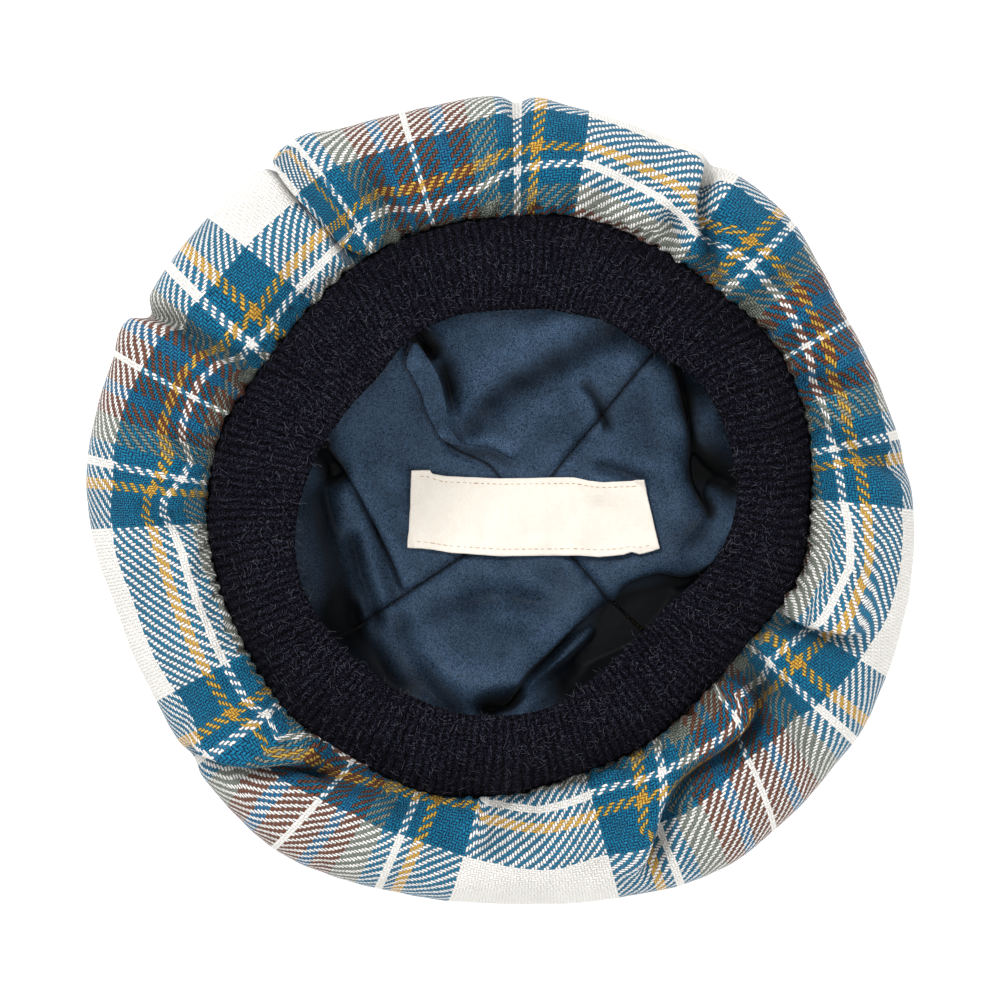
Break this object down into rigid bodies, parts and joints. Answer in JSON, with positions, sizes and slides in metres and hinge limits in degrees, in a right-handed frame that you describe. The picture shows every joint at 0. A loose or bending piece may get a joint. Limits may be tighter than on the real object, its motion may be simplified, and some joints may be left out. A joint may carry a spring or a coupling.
{
  "type": "tam o shanter",
  "caption": "Tartan tam o' shanter with a puffed gathered crown, a rib-knit band and a satin lining, lying upturned on its flat crown.",
  "frame": {"origin": "middle of the hat's outline, on the surface that the flat crown lies on", "axes": "+Z out of the upturned head opening, +X to the right and +Y to the top of the hat as seen from above the opening with the label's long side level"},
  "size_m": [0.2727, 0.2659, 0.0655],
  "materials": {
    "tartan_wool": "brushed twill wool in a white, teal, grey-green and brown tartan",
    "rib_knit": "dark navy rib knit, slightly fuzzy",
    "satin_lining": "navy satin with a soft sheen",
    "label_tape": "bare cream woven tape with tan stitching"
  },
  "bodies": {
    "root": {"crown_side": "tartan_wool", "crown_top": "tartan_wool", "rib_band": "rib_knit", "lining_panel_1": "satin_lining", "lining_panel_2": "satin_lining", "lining_panel_3": "satin_lining", "lining_panel_4": "satin_lining", "label": "label_tape"}
  },
  "joints": []
}
